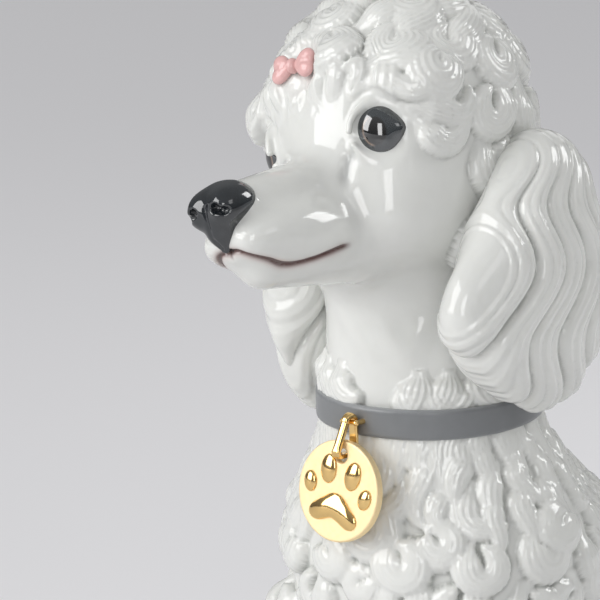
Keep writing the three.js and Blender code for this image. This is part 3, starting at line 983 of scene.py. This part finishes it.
def dress_ear(root, crest, swing):
    """Broad locks that fan out from the root and swing together, each with softer strands in it."""
    def dress(points, normals, relief, paint):
        drop = root[2] - points[:, 2]
        half_width = 9 + 13 * ramp(drop, 0, 50)
        middle = root[1] - 12 * np.clip(drop / 50, -0.3, 1)
        sway = -swing * np.cos(TAU * (crest - points[:, 2]) / EAR_WAVE) * ramp(drop, 0, 25)
        across = (points[:, 1] - middle - sway) / half_width
        lock = across * EAR_LOCKS / 2 + LOCK_OFFSET + 0.07 * np.sin(points[:, 2] / 5)
        lock = np.maximum(lock, FRONT_LOCK)
        share = lock - np.floor(lock)
        heights = LOCK_HEIGHTS[np.floor(lock).astype(int) % len(LOCK_HEIGHTS)]
        dome = np.sqrt(1 - (2 * share - 1) ** 2)
        strand = np.abs(np.sin(math.pi * LOCK_STRANDS * share + 0.4 * np.sin(points[:, 2] / 8)))
        fine = 0.5 - 0.5 * np.cos(TAU * FINE_STRANDS * share)
        width = 2 * half_width / EAR_LOCKS
        relief += heights * dome * ramp(width, 3, 9)
        relief += 0.7 * np.sqrt(strand) * ramp(dome, 0.1, 0.8) * ramp(width, 3, 9)
        relief -= 0.16 * fine * ramp(dome, 0.1, 0.6) * ramp(width, 4, 9)
    return dress


casting("ear_left", left_ear, (16, -60, 150), (52, 16, 248), 0.42 * COARSE,
        dress=dress_ear(vec(30, -12, 230), 211, 4.5))
casting("ear_right", right_ear, (-54, -50, 140), (-18, 18, 232), 0.42 * COARSE,
        dress=dress_ear(vec(-32, -14, 222), 199, 1.5))

# --- Legs and tail ---

TOE_SPREAD = 4.3


def toes(x, y, z):
    """Four toes side by side, the outer two set back."""
    return melt(0.8, *[
        ball((x + place * TOE_SPREAD, y + 0.6 * place**2, z), (2.9, 6.5, 5.4))
        for place in (-1.5, -0.5, 0.5, 1.5)
    ])


def dress_leg(field, furry):
    return lambda points, normals, relief, paint: curls(
        points, relief, field, RNG, furry(points) & (points[:, 2] > 4), 9, size=0.95, height=2.3)


for name, side in (("left", 1), ("right", -1)):
    fore = melt(
        5,
        limb((side * 23, -22, 98), 17, (side * 21, -33, 52), 13.6),
        limb((side * 21, -33, 52), 13.6, (side * 21, -38, 18), 15),
        ball((side * 21, -52, 7), (10.5, 13, 8)),
    )
    fore = melt(1.2, fore, toes(side * 21, -62, 5.6))
    hind = melt(
        6,
        ball((side * 37, 20, 42), (18, 34, 35)),
        limb((side * 42, 34, 13), 14, (side * 41, -4, 12), 12.5),
        ball((side * 41, -23, 7), (10.5, 13, 8)),
    )
    hind = melt(1.2, hind, toes(side * 41, -33, 5.6))
    x_low, x_high = sorted((side * 1, side * 62))
    casting("foreleg_" + name, both(fore, floor_level), (x_low, -74, -2), (x_high, 0, 122),
            0.6 * COARSE, dress=dress_leg(fore, lambda p: (p[:, 2] > 19) | (p[:, 1] > -38)))
    casting("hind_leg_" + name, both(hind, floor_level), (x_low, -46, -2), (x_high, 62, 84),
            0.6 * COARSE, dress=dress_leg(hind, lambda p: p[:, 1] > -12))

tail = melt(4, limb((0, 58, 22), 7.5, (0, 78, 30), 6.5), ball((0, 84, 44), (13.5, 12.5, 14.5)))


def dress_tail(points, normals, relief, paint):
    pompom = (points[:, 2] > 32) | (points[:, 1] > 74)
    curls(points, relief, tail, RNG, pompom, 8, size=0.85, height=2.1)


casting("tail", tail, (-19, 48, 10), (19, 102, 64), 0.55 * COARSE, dress=dress_tail)

# --- Collar ---


def rounded(across, half_width, along, half_length, corner):
    """Distance from a rounded rectangle, from the distances to its two middle lines."""
    a = np.abs(across) - half_width + corner
    b = np.abs(along) - half_length + corner
    return np.hypot(np.maximum(a, 0), np.maximum(b, 0)) + np.minimum(np.maximum(a, b), 0) - corner


def collar_field(points):
    local = (points - COLLAR) @ BAND
    reach = np.hypot(local[:, 0], local[:, 1])
    swell = 0.12 * np.sin(3 * np.arctan2(local[:, 1], local[:, 0]))
    middle = COLLAR_RADIUS - COLLAR_THICKNESS / 2
    return rounded(reach - middle, COLLAR_THICKNESS / 2, local[:, 2] - swell, COLLAR_HEIGHT / 2, 0.9)


def dress_collar(points, normals, relief, paint):
    local = (points - COLLAR) @ BAND
    # The grey is painted lighter towards the top and bottom rims.
    near_rims = ramp(np.abs(local[:, 2]), COLLAR_HEIGHT / 2 - 0.6, COLLAR_HEIGHT / 2)
    stain(paint, 0.35 * near_rims, (0.45, 0.46, 0.47))


casting("collar", collar_field, COLLAR - vec(30, 30, 8), COLLAR + vec(30, 30, 8), 0.4, GREY_GLAZE,
        dress_collar, color=GREY, crevice_shade=0)

# --- Bow ---

BOW = HEAD @ turn_about("X", -0.42)


def on_bow(left, forward, up):
    return BOW_CENTRE + BOW @ vec(left, -forward, up)


def bow_loop(side):
    lobes = melt(
        2.0,
        ball(on_bow(side * 4.5, 0.6, 1.7), (2.1, 1.4, 1.9), BOW),
        ball(on_bow(side * 4.5, 0.6, -1.7), (2.1, 1.4, 1.9), BOW),
        ball(on_bow(side * 2.6, 0.4, 0), (2.1, 1.3, 1.7), BOW),
    )
    return carve(0.8, lobes, limb(on_bow(side * 6.9, 2.2, 0), 0.8, on_bow(side * 4.6, 2.5, 0), 0.5))


def dress_bow(points, normals, relief, paint):
    for side in (-1, 1):
        for spread in (-1, 1):
            pleat = [on_bow(side * (1.4 + step), 2.4, spread * 0.3 * step) for step in range(4)]
            relief -= 0.18 * line_strength(points, np.array(pleat), 0.9, 0.3)
    seam = np.array([on_bow(0.5, 2.8, 2), on_bow(0.4, 3, -2)])
    relief -= 0.12 * line_strength(points, seam, 0.35, 0.2)


for name, side in (("left", 1), ("right", -1)):
    middle = on_bow(side * 4, 0.4, 0)
    casting("bow_loop_" + name, bow_loop(side), middle - 5, middle + 5, 0.16, PINK_GLAZE,
            dress_bow, color=PINK, crevice_shade=0.8)
casting("bow_knot", ball(on_bow(0, 0.8, 0), (1.5, 1.9, 1.9), BOW), BOW_CENTRE - 4, BOW_CENTRE + 4, 0.14,
        PINK_GLAZE, dress_bow, color=PINK, crevice_shade=0.8)

# --- Staple, bail and tag ---

PIN_RADIUS = 0.65
PIN_STAND = 2.6
STAPLE_SPREAD = 2.05
BAIL_WIDTH = 2.4
BAIL_THICKNESS = 1.1
BAIL_DROP = 7.8
BAIL_FRONT = 4.3
BAIL_BACK = 1.2
TAG_STAND = 2.0
TAG_RADIUS = 12.3
TAG_THICKNESS = 2.3
TAG_HOLE_RADIUS = 1.8
TAG_HOLE_DROP = 3.7
PIN = COLLAR + BAND @ vec(0, -(COLLAR_RADIUS + PIN_STAND), 0.4)
HOLE = PIN + vec(0, -TAG_STAND, -BAIL_DROP)
TAG = turn_about("X", math.radians(-8))
PAW = turn_about("Y", math.radians(7))

staple = limb(PIN - vec(STAPLE_SPREAD, 0, 0), PIN_RADIUS, PIN + vec(STAPLE_SPREAD, 0, 0), PIN_RADIUS)
for side in (-1, 1):
    foot = PIN + vec(side * STAPLE_SPREAD, 0, 0)
    staple = melt(0.4, staple, limb(foot, PIN_RADIUS, foot + vec(0, PIN_STAND + 0.4, 0), PIN_RADIUS))
casting("tag_staple", staple, PIN - 5, PIN + 5, 0.2, BRIGHT_GOLD)


def bail_line():
    """The bail's middle line, forward and up from the pin: over the pin, then round the foot."""
    half = BAIL_THICKNESS / 2
    top = PIN_RADIUS + 0.35 + half
    front = BAIL_FRONT + half
    back = BAIL_BACK + half
    over = [(-top * math.cos(a), top * math.sin(a)) for a in np.linspace(0, math.pi, 12)]
    corner = 1.2
    front_turn = [(front - corner + corner * math.cos(a), corner - BAIL_DROP - corner * math.sin(a))
                  for a in np.linspace(0, math.pi / 2, 6)]
    back_turn = [(-back + corner - corner * math.sin(a), corner - BAIL_DROP - corner * math.cos(a))
                 for a in np.linspace(0, math.pi / 2, 6)]
    return np.array(over + front_turn + back_turn + [over[0]])


BAIL_LINE = np.array([(0, -forward, up) for forward, up in bail_line()])


def bail_field(points):
    """The front leg is rounded like a rod, the rest is flat."""
    local = points - PIN
    flat = local * vec(0, 1, 1)
    gap, _ = path_distance(flat, BAIL_LINE)
    rod = ramp(-local[:, 1] + 0.3 * local[:, 2], -0.5, 1.0) * ramp(local[:, 2], -7.0, -5.0)
    half_thick = BAIL_THICKNESS / 2 + 0.3 * rod
    return rounded(gap, half_thick, local[:, 0], BAIL_WIDTH / 2 - 0.15 * rod, 0.4 + 0.4 * rod)


casting("tag_bail", bail_field, PIN - vec(3, 8, 11), PIN + vec(3, 5, 5), 0.16, BRIGHT_GOLD,
        body="bail")

tag_middle = vec(0, 0, TAG_HOLE_DROP - TAG_RADIUS)


def disc_field(points):
    local = (points - HOLE) @ TAG
    reach = np.hypot(local[:, 0], local[:, 2] - tag_middle[2])
    disc = rounded(reach, TAG_RADIUS, local[:, 1], TAG_THICKNESS / 2, 0.45)
    face = TAG_THICKNESS / 2
    hole = TAG_HOLE_RADIUS + 0.25 * ramp(np.abs(local[:, 1]), face - 0.4, face)
    return -soft_min(0.2, -disc, np.hypot(local[:, 0], local[:, 2]) - hole)


def on_tag(across, up):
    face = PAW @ vec(across, 0, up) + tag_middle - vec(0, TAG_THICKNESS / 2, 0)
    return HOLE + TAG @ face


disc_middle = HOLE + TAG @ tag_middle
casting("tag_disc", disc_field, disc_middle - vec(14, 5, 14), disc_middle + vec(14, 5, 14), 0.2,
        MATT_GOLD, body="tag")

PAD_RISE = 1.1


def pad(across, up, half_width, half_height, lean):
    return ball(on_tag(across, up), (half_width, PAD_RISE, half_height),
                TAG @ PAW @ turn_about("Y", math.radians(-lean)))


def raised(name, field, across, up, reach):
    """A pad that stands on the tag's face."""
    face = below(on_tag(0, 0) + TAG @ vec(0, 0.02, 0), TAG @ vec(0, 1, 0))
    middle = on_tag(across, up)
    casting(name, both(field, face), middle - reach, middle + reach, 0.13, BRIGHT_GOLD,
            body="tag")


for name, across, up, half_width, half_height, lean in (
    ("toe_pad_outer_right", -8.6, 0.2, 1.9, 2.6, 12),
    ("toe_pad_inner_right", -3.8, 4.6, 2.4, 3.6, 6),
    ("toe_pad_inner_left", 3.8, 4.6, 2.4, 3.6, -6),
    ("toe_pad_outer_left", 8.6, 0.2, 1.9, 2.6, -12),
):
    raised(name, pad(across, up, half_width, half_height, lean), across, up, 4.5)
heel = melt(2.5, pad(0, -3.5, 3.6, 3, 0), pad(-4.4, -5.8, 3.2, 2.4, 24), pad(4.4, -5.8, 3.2, 2.4, -24))
raised("paw_pad", heel, 0, -4, 10)
